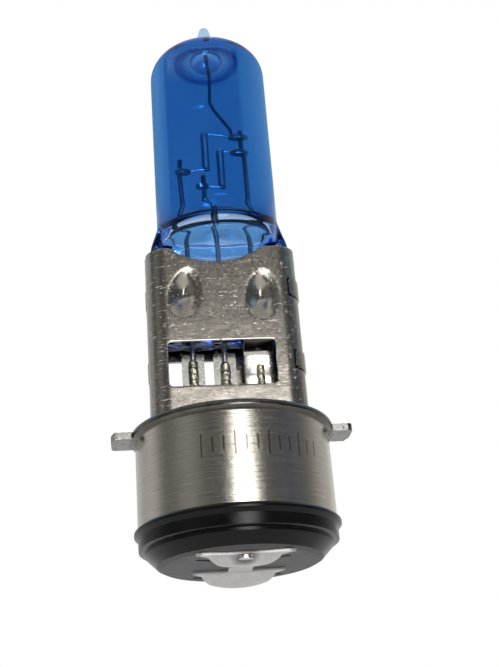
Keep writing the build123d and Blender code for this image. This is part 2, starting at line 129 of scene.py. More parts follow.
DIMPLE_HALF_WIDTH = 1.75
DIMPLE_DEPTH = 0.82
TONGUE = (1.8, 5.0, 5.8, 9.6)  # left, right, lower end and bend
TONGUE_ROOT = ((0.0, 0.5), (0.01, 0.12), (0.22, -0.14))  # in from the wall, and up from the window
TONGUE_BEND = ((0.36, 0.10), (0.17, -0.08), (0.11, -0.6), (0.05, -1.15), (0.01, -1.9), (0.0, -2.6))
LEAD_GAP = 0.05
SHEET_STEP = 0.27
HOLDER_EDGE = 0.12
TONGUE_EDGE = 0.10

# filaments and clamps
COIL_RADIUS = 0.40
COIL_WIRE = 0.08
COIL_TURNS = 15
COIL_STEPS = 18
MAIN_COIL_X = -0.8
MAIN_COIL_BOTTOM = 32.6
DIP_COIL_X = 0.9
CLAMPS = ("upper_common_clamp", "lower_common_clamp", "main_clamp", "dip_clamp")
COIL_SIDES = 8
LEG_WIRE = 0.09
TAB_CUTS = 6
TAB_EDGE = 0.12

# insulator, measured down from the shell's lower edge and in from the barrel
INSULATOR_COLUMNS = 160
SHELL_WALL = 0.4
LIP_HEIGHT = 0.5
LIP_CHAMFER = 0.25
WALL_DROP = 2.0
WALL_BULGE = (0.02, 0.9)
STEP_IN = 0.6
STEP_DROPS = (2.15, 2.45, 2.75)
STEP_FOOT_IN = 0.9
FACE_IN = 1.7
FACE_EDGE = (0.5, 0.25)
MOULDED_EDGE = 0.14
LOCATING_SLOT = (1.8, 0.6, 1.0)
LOCATING_SLOT_X = 3.7
LOCATING_SLOT_BACK = 3.5
LOCATING_SLOT_TURN = 22.0

# contacts
CONTACT_SHEET = 0.3
CONTACT_CLEARANCE = 0.02
CONTACT_HALF = 4.7
CONTACT_CORNER = (0.5, 0.12, 0.14)  # its run along the front edge, and the point between that and the side
CONTACT_SIDE = 0.16
CONTACT_POINTS = 48
CONTACT_STEP = 0.22
CONTACT_EDGE = 0.05
DOME_HALF_LENGTH = 4.2
DOME_HALF_WIDTH = 2.1
DOME_SETBACK = 0.25
TAB_HALF_WIDTH = 1.2
TAB_LENGTH = 2.3

# tick marks round the barrel
TICK_START = 60.0  # added so that the count never turns negative
TICK_GAP = 1.1
TICK_HALF_WIDTH = 0.09
TICK_HALF_HEIGHT = 0.75
TICK_EXTRA = 0.45
TICK_MIDDLE = (2.2, -3.4)  # along the barrel from the front, and height
TICK_ROW_HALF = 6.4


# ---------------------------------------------------------------- small tools for the mesh work
def arc(centre, radius, start, end, count):
    """Points along an arc in a plane, angles in degrees, both ends included."""
    turns = [radians(start + (end - start) * k / count) for k in range(count + 1)]
    return [(centre[0] + radius * cos(t), centre[1] + radius * sin(t)) for t in turns]


def smooth_step(value, low, high):
    """Rises from 0 to 1 between low and high, level at both."""
    share = min(max((value - low) / (high - low), 0.0), 1.0)
    return share * share * (3 - 2 * share)


def rounded_box(left, right, bottom, top, corner, count=6):
    """Closed outline of a rectangle with rounded corners."""
    return (arc((right - corner, bottom + corner), corner, -90, 0, count)
            + arc((right - corner, top - corner), corner, 0, 90, count)
            + arc((left + corner, top - corner), corner, 90, 180, count)
            + arc((left + corner, bottom + corner), corner, 180, 270, count))


def turned(bm, profile, segments):
    """Spins a profile of (radius, z) points about Z and closes its poles. Returns the new faces."""
    verts = [bm.verts.new((r, 0, z)) for r, z in profile]
    edges = [bm.edges.new(pair) for pair in zip(verts, verts[1:])]
    before = set(bm.faces)
    bmesh.ops.spin(bm, geom=verts + edges, cent=(0, 0, 0), axis=(0, 0, 1), angle=tau,
                   steps=segments, use_merge=True)
    faces = [face for face in bm.faces if face not in before]
    poles = [v for v in {v for f in faces for v in f.verts} if hypot(v.co.x, v.co.y) < 1e-4]
    bmesh.ops.remove_doubles(bm, verts=poles, dist=1e-3)
    return [face for face in bm.faces if face not in before]


def rod(bm, start, end, radius, sides=12):
    """Straight round wire between two points, with closed ends."""
    start, end = Vector(start), Vector(end)
    run = end - start
    place = Matrix.Translation((start + end) / 2) @ run.to_track_quat("Z", "Y").to_matrix().to_4x4()
    bmesh.ops.create_cone(bm, cap_ends=True, segments=sides, radius1=radius, radius2=radius,
                          depth=run.length, matrix=place)


def scored_sheet(outlines, step):
    """Flat sheet inside closed (u, v) outlines, the first its edge and the rest holes, in small cells."""
    bm = bmesh.new()
    for outline in outlines:
        verts = [bm.verts.new((u, v, 0)) for u, v in outline]
        for pair in zip(verts, verts[1:] + verts[:1]):
            bm.edges.new(pair)
    bmesh.ops.remove_doubles(bm, verts=bm.verts[:], dist=1e-4)
    bmesh.ops.triangle_fill(bm, use_beauty=True, edges=bm.edges[:], normal=(0, 0, 1))
    for axis in (0, 1):
        low = min(v.co[axis] for v in bm.verts)
        high = max(v.co[axis] for v in bm.verts)
        across = Vector((1, 0, 0)) if axis == 0 else Vector((0, 1, 0))
        for k in range(1, round((high - low) / step)):
            bmesh.ops.bisect_plane(bm, geom=bm.verts[:] + bm.edges[:] + bm.faces[:], dist=1e-4,
                                   plane_co=across * (low + k * step), plane_no=across)
    bmesh.ops.remove_doubles(bm, verts=bm.verts[:], dist=2e-3)
    return bm


def finish_piece(name, bm, finish, nodes=(), sharp=35.0):
    """Makes an object of a mesh in millimetres and puts it on the frame."""
    bmesh.ops.scale(bm, vec=(MM, MM, MM), verts=bm.verts[:])
    mesh = bpy.data.meshes.new(name)
    bm.to_mesh(mesh)
    bm.free()
    mesh.shade_smooth()
    mesh.set_sharp_from_angle(angle=radians(sharp))
    mesh.materials.append(finish)
    piece = bpy.data.objects.new(name, mesh)
    bpy.context.scene.collection.objects.link(piece)
    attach(piece, "root")
    if nodes:
        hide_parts(*nodes)
    return piece


def thicken(piece, thickness):
    """Gives a sheet its wall, inwards from its modelled face."""
    wall = piece.modifiers.new("wall", "SOLIDIFY")
    wall.thickness = thickness * MM
    wall.offset = -1
    wall.use_even_offset = True
    wall.use_quality_normals = True


def round_edges(piece, width, segments=2, angle=35.0):
    """Rounds the edges that turn by more than an angle in degrees."""
    soft = piece.modifiers.new("edges", "BEVEL")
    soft.width = width * MM
    soft.segments = segments
    soft.limit_method = "ANGLE"
    soft.angle_limit = radians(angle)


# ---------------------------------------------------------------- materials
def new_finish(name):
    """A new material with its node tree and its main shader."""
    finish = bpy.data.materials.new(name)
    finish.use_nodes = True
    tree = finish.node_tree
    return finish, tree, tree.nodes["Principled BSDF"]


def add(tree, kind, settings=None, **sockets):
    """Adds a shader node; a socket takes a value or a link."""
    made = tree.nodes.new("ShaderNode" + kind)
    for key, value in (settings or {}).items():
        setattr(made, key, value)
    dress(tree, made, **sockets)
    return made


def feed(tree, socket, value):
    """Links a socket or gives it a value."""
    if isinstance(value, bpy.types.NodeSocket):
        tree.links.new(value, socket)
    else:
        socket.default_value = value


def dress(tree, shader, **sockets):
    """Sets sockets by name, with _ for a space."""
    for key, value in sockets.items():
        feed(tree, shader.inputs[key.replace("_", " ")], value)


def calc(tree, operation, a, b=0.0, clamp=False):
    made = tree.nodes.new("ShaderNodeMath")
    made.operation = operation
    made.use_clamp = clamp
    feed(tree, made.inputs[0], a)
    feed(tree, made.inputs[1], b)
    return made.outputs[0]


def plus(tree, a, b):
    """Two values added together."""
    return calc(tree, "ADD", a, b)


def over(tree, a, b):
    """One value divided by another."""
    return calc(tree, "DIVIDE", a, b)


def times(tree, *factors):
    """All the factors multiplied together."""
    product = factors[0]
    for factor in factors[1:]:
        product = calc(tree, "MULTIPLY", product, factor)
    return product


def blend_colour(tree, share, first, second):
    """The first colour where the share is 0 and the second where it is 1."""
    made = tree.nodes.new("ShaderNodeMix")
    made.data_type = "RGBA"
    feed(tree, made.inputs[0], share)
    feed(tree, made.inputs[6], first)
    feed(tree, made.inputs[7], second)
    return made.outputs[2]


def ramp(tree, share, stops):
    """Colour ramp; each stop is its position and a grey or an (r, g, b)."""
    made = tree.nodes.new("ShaderNodeValToRGB")
    feed(tree, made.inputs[0], share)
    elements = made.color_ramp.elements
    while len(elements) < len(stops):
        elements.new(0.5)
    for element, (position, colour) in zip(elements, stops):
        element.position = position
        if not isinstance(colour, tuple):
            colour = (colour,) * 3
        element.color = (*colour, 1)
    return made.outputs[0]


def millimetres(tree, stretch=(1, 1, 1)):
    """The piece's own coordinates in millimetres, squeezed along the axes given."""
    coords = add(tree, "TexCoord")
    scale = tuple(s / MM for s in stretch)
    return add(tree, "Mapping", Vector=coords.outputs["Object"], Scale=scale).outputs[0]


def place_on_piece(tree):
    """The x, y and z of a spot on the piece, in millimetres."""
    return add(tree, "SeparateXYZ", Vector=millimetres(tree)).outputs


def from_axis(tree):
    """Distance from the bulb's axis, in millimetres."""
    x, y = place_on_piece(tree)[:2]
    return calc(tree, "SQRT", plus(tree, times(tree, x, x), times(tree, y, y)))


def mottling(tree, scale, stretch=(1, 1, 1), detail=3.0, roughness=0.5):
    """Noise with a given number of spots in a millimetre."""
    return add(tree, "TexNoise", Vector=millimetres(tree, stretch), Scale=scale, Detail=detail,
               Roughness=roughness).outputs[0]


def relief(tree, shader, height, depth, strength=1.0):
    """Bump of a depth in millimetres."""
    bump = add(tree, "Bump", Strength=strength, Distance=depth * MM, Height=height)
    feed(tree, shader.inputs["Normal"], bump.outputs[0])


def grey(value):
    return (value, value, value, 1)


def nickel(name, colour, rough, scratch, spots=1.0):
    """Pressed nickel-plated sheet with scuffs, fine scratches and dull spots."""
    finish, tree, shader = new_finish(name)
    cloud = mottling(tree, 0.45)
    peel = mottling(tree, 2.6, detail=5.0, roughness=0.65)
    level = mottling(tree, 1.0, (0.55, 0.55, 9.0), detail=4.0)
    slant = mottling(tree, 1.0, (2.2, 2.2, 5.0), detail=2.0)
    lines = ramp(tree, level, ((0.60, 0.0), (0.68, 1.0)))
    patches = ramp(tree, slant, ((0.50, 0.0), (0.62, 1.0)))
    x = place_on_piece(tree)[0]
    handled = ramp(tree, over(tree, plus(tree, x, 10.0), 20.0),
                   ((0.0, 1.0), (0.20, 1.0), (0.30, 0.15), (0.9, 0.25)))
    scuffs = times(tree, lines, patches, handled)
    dull = ramp(tree, peel, ((0.36, 1.0), (0.46, 0.0)))
    tone = blend_colour(tree, cloud, (*[c * 0.8 for c in colour], 1), (*[c * 1.15 for c in colour], 1))
    tone = blend_colour(tree, times(tree, dull, 0.35 * spots), tone, grey(0.16))
    tone = blend_colour(tree, times(tree, scuffs, scratch), tone, grey(0.92))
    pits = ramp(tree, mottling(tree, 2.2, detail=2.0), ((0.66, 0.0), (0.74, 1.0)))
    torn = times(tree, plus(tree, scuffs, times(tree, pits, spots)), scratch * 0.8)
    metal = calc(tree, "SUBTRACT", 1.0, torn, clamp=True)
    gloss = plus(tree, plus(tree, times(tree, peel, 0.16), rough - 0.08), times(tree, scuffs, 0.25))
    dress(tree, shader, Base_Color=tone, Metallic=metal, Roughness=gloss)
    height = plus(tree, times(tree, peel, 0.16), times(tree, scuffs, 0.6))
    height = plus(tree, height, times(tree, pits, spots * 4))
    relief(tree, shader, plus(tree, height, times(tree, cloud, 1.2)), 0.03, 0.8)
    return finish


def turned_nickel(name):
    """Barrel of the cap: turned round, so its lines run level, with generic tick marks etched in."""
    finish, tree, shader = new_finish(name)
    cloud = mottling(tree, 0.5, (1, 1, 0.35), detail=4.0)
    lines = mottling(tree, 1.0, (0.25, 0.25, 16.0), detail=5.0, roughness=0.7)
    spots = mottling(tree, 3.2, detail=3.0)
    tone = blend_colour(tree, cloud, (0.55, 0.51, 0.44, 1), (0.72, 0.67, 0.59, 1))
    tone = blend_colour(tree, ramp(tree, lines, ((0.35, 0.35), (0.5, 0.0))), tone, grey(0.3))
    tone = blend_colour(tree, ramp(tree, lines, ((0.56, 0.0), (0.68, 0.4))), tone, grey(0.92))
    marks = tick_marks(tree)
    tone = blend_colour(tree, times(tree, marks, 0.75), tone, (0.21, 0.15, 0.09, 1))
    rough = plus(tree, times(tree, spots, 0.12), times(tree, lines, 0.16))
    dress(tree, shader, Base_Color=tone, Metallic=1.0, Roughness=plus(tree, rough, 0.02))
    height = calc(tree, "SUBTRACT", lines, times(tree, marks, 3.0))
    relief(tree, shader, height, 0.016, 0.6)
    return finish


def dark_collar(name):
    """Ring with a painted dark reflection on its rolled rim, brighter on the two ears."""
    finish, tree, shader = new_finish(name)
    on_ear = ramp(tree, over(tree, from_axis(tree), 20.0), ((0.520, 0.0), (0.535, 1.0)))
    cloud = mottling(tree, 0.8, detail=4.0)
    specks = ramp(tree, mottling(tree, 2.2, detail=4.0, roughness=0.65), ((0.38, 1.0), (0.47, 0.0)))
    # painted reflection: the rim's dark colour stands in for the dark surroundings it reflects
    rim = blend_colour(tree, cloud, (0.06, 0.055, 0.05, 1), (0.15, 0.14, 0.12, 1))
    ear = blend_colour(tree, cloud, (0.16, 0.155, 0.145, 1), (0.34, 0.33, 0.31, 1))
    ear = blend_colour(tree, times(tree, specks, 0.8), ear, grey(0.05))
    dress(tree, shader, Base_Color=blend_colour(tree, on_ear, rim, ear), Metallic=1.0,
          Roughness=plus(tree, times(tree, cloud, 0.2), 0.12))
    relief(tree, shader, cloud, 0.05, 0.6)
    return finish


def tick_marks(tree):
    """A plain row of etched strokes round the front of the barrel, every third one longer."""
    x, y, z = place_on_piece(tree)
    turn = calc(tree, "ARCTAN2", x, times(tree, y, -1.0))
    along = times(tree, turn, CAP_RADIUS)
    counted = plus(tree, along, TICK_START)
    stroke = calc(tree, "LESS_THAN", calc(tree, "PINGPONG", counted, TICK_GAP / 2), TICK_HALF_WIDTH)
    third = calc(tree, "LESS_THAN", calc(tree, "PINGPONG", counted, TICK_GAP * 3 / 2), TICK_GAP / 4)
    half = plus(tree, times(tree, third, TICK_EXTRA), TICK_HALF_HEIGHT)
    tall = calc(tree, "LESS_THAN", calc(tree, "ABSOLUTE", calc(tree, "SUBTRACT", z, TICK_MIDDLE[1])), half)
    aside = calc(tree, "ABSOLUTE", calc(tree, "SUBTRACT", along, TICK_MIDDLE[0]))
    return times(tree, stroke, tall, calc(tree, "LESS_THAN", aside, TICK_ROW_HALF))


def moulded_black(name):
    """Black moulded insulator: glossy on its side, dull and grained on the face under the contacts, with
    painted light making that face a lighter grey.
    """
    finish, tree, shader = new_finish(name)
    height = place_on_piece(tree)[2]
    under = calc(tree, "LESS_THAN", height, INSULATOR_FACE + 0.25)
    grain = mottling(tree, 7.0, detail=4.0, roughness=0.7)
    cloud = mottling(tree, 0.7, detail=4.0)
    side = blend_colour(tree, cloud, (0.002, 0.002, 0.002, 1), (0.007, 0.007, 0.007, 1))
    # the grain is the moulding's own; the face's lighter grey is painted light from below
    face = blend_colour(tree, grain, (0.045, 0.044, 0.044, 1), (0.125, 0.122, 0.120, 1))
    shine = plus(tree, times(tree, cloud, 0.15), 0.10)
    dress(tree, shader, Base_Color=blend_colour(tree, under, side, face), Specular_IOR_Level=0.22,
          Roughness=plus(tree, shine, times(tree, under, 0.35)))
    relief(tree, shader, plus(tree, grain, times(tree, cloud, 2.0)), 0.02, 0.5)
    return finish


def tinned_sheet(name, stain_at):
    """Satin tinned contact sheet, stained dark round its solder."""
    finish, tree, shader = new_finish(name)
    cloud = mottling(tree, 0.9, detail=4.0)
    fine = mottling(tree, 5.0, (1, 0.25, 1), detail=4.0)
    away = add(tree, "VectorMath", {"operation": "DISTANCE"}, Vector=millimetres(tree))
    feed(tree, away.inputs[1], stain_at)
    reach = plus(tree, away.outputs["Value"], times(tree, cloud, 1.2))
    stain = ramp(tree, over(tree, reach, 4.0), ((0.3, 0.85), (0.55, 0.0)))
    tone = blend_colour(tree, cloud, (0.50, 0.49, 0.47, 1), (0.70, 0.69, 0.67, 1))
    tone = blend_colour(tree, times(tree, fine, 0.25), tone, grey(0.35))
    tone = blend_colour(tree, stain, tone, (0.14, 0.12, 0.10, 1))
    dress(tree, shader, Base_Color=tone, Metallic=0.9, Roughness=plus(tree, times(tree, fine, 0.25), 0.34))
    relief(tree, shader, fine, 0.01, 0.5)
    return finish


def plain_metal(name, dark, light, rough, spots=1.5, depth=0.01):
    """Bare metal whose tone and gloss wander between two greys."""
    finish, tree, shader = new_finish(name)
    cloud = mottling(tree, spots, detail=4.0)
    fine = mottling(tree, spots * 6, detail=3.0)
    dress(tree, shader, Base_Color=blend_colour(tree, cloud, (*dark, 1), (*light, 1)), Metallic=1.0,
          Roughness=plus(tree, times(tree, fine, 0.2), rough - 0.1))
    relief(tree, shader, fine, depth, 0.6)
    return finish


def tungsten_wire(name):
    """Tungsten, bright on the outside of a coil, with painted shade on the inside of its turns."""
    finish, tree, shader = new_finish(name)
    outer = add(tree, "Attribute", {"attribute_name": "outer"}).outputs["Fac"]
    cloud = mottling(tree, 2.0, detail=3.0)
    bright = blend_colour(tree, cloud, (0.55, 0.54, 0.58, 1), (0.90, 0.89, 0.92, 1))
    # painted shade: near-black colour on the inner side of each turn, where the turns hide each other
    tone = blend_colour(tree, outer, (0.012, 0.012, 0.016, 1), bright)
    dress(tree, shader, Base_Color=tone, Metallic=1.0, Roughness=0.22)
    return finish


def blue_glass(name):
    """Glass with a blue film on its outside only; clear under the shoulder, navy at the seal's edges, near
    black with painted shade at the seal's foot, and with painted dark rings under the tip.
    """
    finish, tree, shader = new_finish(name)
    x, _, z = place_on_piece(tree)
    outside = add(tree, "Attribute", {"attribute_name": "film"}).outputs["Fac"]
    cloud = mottling(tree, 0.16, (1, 1, 0.4), detail=2.0)
    film = blend_colour(tree, cloud, (0.006, 0.075, 0.31, 1), (0.022, 0.125, 0.41, 1))
    clear = (0.80, 0.90, 0.98, 1)
    low = over(tree, calc(tree, "SUBTRACT", z, 20.0), 4.0)
    outer = blend_colour(tree, ramp(tree, low, ((0.62, 1.0), (0.80, 0.0))), film, clear)
    side = over(tree, calc(tree, "ABSOLUTE", x), 10.0)
    wedge = times(tree, ramp(tree, side, ((0.61, 0.0), (0.66, 1.0))),
                  ramp(tree, low, ((0.9, 1.0), (1.0, 0.0))))
    outer = blend_colour(tree, wedge, outer, (0.01, 0.02, 0.12, 1))
    tip = ramp(tree, over(tree, z, 60.0), ((0.822, 0.0), (0.838, 1.0)))
    outer = blend_colour(tree, tip, outer, (0.42, 0.60, 0.82, 1))
    # painted shade: the seal's foot, inside the holder, is coloured near black
    foot = ramp(tree, over(tree, z, 20.0), ((0.80, 1.0), (0.92, 0.0)))
    outer = blend_colour(tree, foot, outer, (0.006, 0.008, 0.03, 1))
    # painted shade: darker blue rings and core on the inside under the exhaust tip stand in for what
    # refraction through the fused plug shows
    painted_dark_rings = ramp(tree, over(tree, from_axis(tree), 5.0),
                 ((0.0, 1.0), (0.28, 1.0), (0.38, 0.2), (0.50, 0.2), (0.62, 1.0), (0.76, 1.0), (0.84, 0.0)))
    top = ramp(tree, over(tree, z, 60.0), ((0.76, 0.0), (0.78, 1.0)))
    inner = blend_colour(tree, times(tree, painted_dark_rings, top), grey(1.0), (0.05, 0.16, 0.48, 1))
    dress(tree, shader, Base_Color=blend_colour(tree, outside, inner, outer), Transmission_Weight=1.0,
          Roughness=0.0, IOR=1.46, Specular_IOR_Level=0.8, Specular_Tint=(0.30, 0.75, 1.0, 1))
    depth = add(tree, "VolumeAbsorption", Color=(0.25, 0.5, 0.9, 1), Density=70.0)
    tree.links.new(depth.outputs[0], tree.nodes["Material Output"].inputs["Volume"])
    return finish


FINISHES = {
    "blue_glass": blue_glass("coated_blue_glass"),
    "tungsten": tungsten_wire("tungsten_wire"),
    # painted shade: the support wires and clamp tabs have dark greys that stand in for the dim light inside
    # the bulb
    "support_wire": plain_metal("support_wire_metal", (0.10, 0.10, 0.12), (0.24, 0.24, 0.26), 0.35, 1.2),
    "clamp_sheet": plain_metal("clamp_sheet_metal", (0.12, 0.12, 0.14), (0.36, 0.36, 0.38), 0.28, 1.5),
    "foil": plain_metal("seal_foil", (0.30, 0.30, 0.31), (0.50, 0.50, 0.50), 0.35, 1.0),
    "lead_wire": plain_metal("bare_lead_wire", (0.50, 0.50, 0.50), (0.78, 0.78, 0.77), 0.28, 1.2),
    "weld": plain_metal("weld_bead", (0.30, 0.26, 0.17), (0.92, 0.86, 0.70), 0.20, 2.2, 0.05),
    "strip_steel": plain_metal("terminal_strip_steel", (0.30, 0.30, 0.28), (0.48, 0.47, 0.44), 0.24, 0.8),
    "holder_nickel": nickel("pressed_holder_nickel", (0.44, 0.405, 0.355), 0.20, 0.75, 0.25),
    # painted light: the tongue is the same sheet as the front half, given a lighter tone
    "tongue_nickel": nickel("earth_tongue_nickel", (0.62, 0.59, 0.55), 0.17, 0.3, 0.1),
    "collar_nickel": dark_collar("collar_ring_nickel"),
    "cap_nickel": turned_nickel("turned_cap_nickel"),
    "insulator": moulded_black("moulded_insulator"),
    "solder": plain_metal("solder_metal", (0.45, 0.44, 0.42), (0.80, 0.79, 0.76), 0.22, 1.5, 0.03),
}


# ---------------------------------------------------------------- glass
def glass_outside():
    """Edge of the tube, dome and exhaust tip from the top down to the press seal's shoulder."""
    base_z = CROWN_CENTRE + sqrt(CROWN_RADIUS ** 2 - NIPPLE_BASE ** 2)
    cap = arc((0, GLASS_HIGH.z - NIPPLE_END), NIPPLE_END, 90, 12, 8)
    neck_end, bow = (NIPPLE_BASE, base_z), (NIPPLE_BOW[0], base_z + NIPPLE_BOW[1])
    neck = []
    for share in (k / 9 for k in range(1, 9)):
        neck.append(tuple((1 - share) ** 2 * a + 2 * share * (1 - share) * b + share ** 2 * c
                          for a, b, c in zip(cap[-1], bow, neck_end)))
    knuckle_x = GLASS_RADIUS - KNUCKLE_RADIUS
    join = 90 - atan2(knuckle_x, CROWN_OFFSET) * 180 / pi
    base_turn = atan2(base_z - CROWN_CENTRE, NIPPLE_BASE) * 180 / pi
    crown = arc((0, CROWN_CENTRE), CROWN_RADIUS, base_turn, join, 20)
    knuckle = arc((knuckle_x, KNUCKLE_Z), KNUCKLE_RADIUS, join, 0, 14)
    levels = [KNUCKLE_Z + (SHOULDER_TOP - KNUCKLE_Z) * k / 8 for k in range(1, 9)]
    return cap + neck + crown + knuckle[1:] + [(GLASS_RADIUS, z) for z in levels]


def glass_inside():
    """Edge of the gas space, with the thick fused plug under the exhaust tip."""
    crown = CROWN_RADIUS - GLASS_WALL
    knuckle = KNUCKLE_RADIUS - GLASS_WALL
    side = GLASS_RADIUS - GLASS_WALL
    knuckle_x = side - knuckle
    join = 90 - atan2(knuckle_x, CROWN_OFFSET) * 180 / pi
    start = atan2(sqrt(crown ** 2 - PLUG_RADIUS ** 2), PLUG_RADIUS) * 180 / pi
    points = []
    for k in range(25):
        r = PLUG_RADIUS * k / 24
        z = CROWN_CENTRE + sqrt(crown ** 2 - r ** 2)
        rim = sqrt(max(0.0, 1 - (r / PLUG_RADIUS) ** 4))
        core = 1 - smooth_step(r, CORE_RADIUS * 0.6, CORE_RADIUS * 1.25)
        points.append((r, z - PLUG_DROP * rim - CORE_DROP * core))
    points += arc((0, CROWN_CENTRE), crown, start, join, 14)[1:]
    points += arc((knuckle_x, KNUCKLE_Z), knuckle, join, 0, 12)[1:]
    floor_turn = arc((side - CAVITY_CORNER, CAVITY_FLOOR + CAVITY_CORNER), CAVITY_CORNER, 0, -90, 8)
    rise = [((side - CAVITY_CORNER) * (1 - k / 8), CAVITY_FLOOR + 0.25 * smooth_step(k / 8, 0.0, 1.0))
            for k in range(1, 9)]
    return points + floor_turn + rise


def pinch_edge(share):
    """Point on the press seal's section at a share of the way round, from +X towards +Y."""
    flat_x = PINCH_HALF_WIDTH - PINCH_EDGE
    flat_y = PINCH_HALF_THICK - PINCH_EDGE
    bend = PINCH_EDGE * pi / 2
    quarter = flat_x + flat_y + bend
    along = (share % 1.0) * 4 * quarter
    turn, rest = divmod(along, quarter)
    if turn % 2:
        rest = quarter - rest
    if rest < flat_y:
        x, y = PINCH_HALF_WIDTH, rest
    elif rest < flat_y + bend:
        a = (rest - flat_y) / PINCH_EDGE
        x, y = flat_x + PINCH_EDGE * cos(a), flat_y + PINCH_EDGE * sin(a)
    else:
        x, y = quarter - rest, PINCH_HALF_THICK
    return (x if turn in (0, 3) else -x), (y if turn < 2 else -y)


def shoulder_point(share, step):
    """Point on the pressed shoulder: down the tube, in under it and down the seal, step from 0 to 1."""
    turn = share * tau
    tube = Vector((GLASS_RADIUS * cos(turn), GLASS_RADIUS * sin(turn)))
    seal = Vector(pinch_edge(share))
    flare = smooth_step(abs(cos(turn)), 0.86, 0.97)
    corner = SHOULDER_Z + FLARE_RISE * flare
    path = [(0, SHOULDER_TOP), (0, corner), (1, SHOULDER_Z), (1, PINCH_TOP)]
    lengths = [SHOULDER_TOP - corner, hypot((seal - tube).length, corner - SHOULDER_Z),
               SHOULDER_Z - PINCH_TOP]
    rounds = (min(SHOULDER_ROUND, 0.45 * lengths[0], 0.45 * lengths[1]),
              min(SHOULDER_FILLET, 0.45 * lengths[1], 0.45 * lengths[2]))
    spots = [0, lengths[0] - rounds[0], lengths[0] + rounds[0],
             lengths[0] + lengths[1] - rounds[1], lengths[0] + lengths[1] + rounds[1], sum(lengths)]

    def at(length):
        for (a, b), size in zip(zip(path, path[1:]), lengths):
            if length <= size:
                t = length / size
                return Vector((a[0] + (b[0] - a[0]) * t, a[1] + (b[1] - a[1]) * t))
            length -= size
        return Vector(path[-1])

    for k, (begin_step, end_step) in enumerate(zip(SHOULDER_STEPS, SHOULDER_STEPS[1:])):
        if step <= end_step:
            t = (step - begin_step) / (end_step - begin_step)
            if k in (1, 3):
                begin, end, bend = at(spots[k]), at(spots[k + 1]), Vector(path[1 if k == 1 else 2])
                spot = begin * (1 - t) ** 2 + bend * 2 * t * (1 - t) + end * t * t
            else:
                spot = at(spots[k] + (spots[k + 1] - spots[k]) * t)
            break
    plan = tube.lerp(seal, spot.x)
    return Vector((plan.x, plan.y, spot.y))


def ripple(point, scale, seed):
    """Smooth unevenness between about -1 and 1."""
    return noise.noise(Vector(point) * scale + Vector((seed, seed * 2.3, seed * 0.7)))


def make_glass():
    """The whole bulb: spun outside, shoulder and seal pulled down from it row by row, spun gas space."""
    bm = bmesh.new()
    share_layer = bm.verts.layers.float.new("share")
    film_layer = bm.verts.layers.float.new("film")
    turned(bm, glass_outside(), GLASS_COLUMNS)
    rim = [edge for edge in bm.edges if edge.is_boundary]
    for vert in {v for edge in rim for v in edge.verts}:
        vert[share_layer] = atan2(vert.co.y, vert.co.x) / tau
    rows = [(shoulder_point, (k + 1) / SHOULDER_ROWS) for k in range(SHOULDER_ROWS)]
    rows += [(seal_point, (k + 1) / SEAL_ROWS) for k in range(SEAL_ROWS)]
    rows += [(seal_end_point, inset) for inset in SEAL_END_INSETS]
    for place, step in rows:
        made = bmesh.ops.extrude_edge_only(bm, edges=rim)["geom"]
        for vert in (item for item in made if isinstance(item, bmesh.types.BMVert)):
            vert.co = place(vert[share_layer], step)
        rim = [item for item in made if isinstance(item, bmesh.types.BMEdge) and item.is_boundary]
    bmesh.ops.contextual_create(bm, geom=rim)
    bmesh.ops.recalc_face_normals(bm, faces=bm.faces[:])
    outside = set(bm.faces)
    for vert in bm.verts:
        vert[film_layer] = 1.0
    turned(bm, glass_inside(), GLASS_COLUMNS)
    inside = [face for face in bm.faces if face not in outside]
    bmesh.ops.recalc_face_normals(bm, faces=inside)
    bmesh.ops.reverse_faces(bm, faces=inside)
    return finish_piece("blue_glass_bulb", bm, FINISHES["blue_glass"], ["glass_capsule"],
                        sharp=50.0)


def seal_point(share, step):
    """Point on the press seal's side, ragged towards its lower end."""
    x, y = pinch_edge(share)
    z = PINCH_TOP + (GLASS_LOW.z + SEAL_SOFT_END - PINCH_TOP) * step
    rough = step ** 6
    z += 0.28 * rough * ripple((x, y, 0), 0.9, 3.0)
    pull = 1 - 0.06 * rough * (1 + ripple((x, y, 0), 1.7, 8.0))
    return Vector((x * (1 - 0.01 * rough), y * pull, z))


def seal_end_point(share, inset):
    """Point on the uneven end face of the press seal."""
    x, y = pinch_edge(share)
    z = GLASS_LOW.z + 0.18 + 0.16 * ripple((x, y * inset, 0), 1.1, 5.0)
    slim = 1 - (1 - inset) * 0.12
    return Vector((x * slim, y * inset, max(z, GLASS_LOW.z + 0.01)))


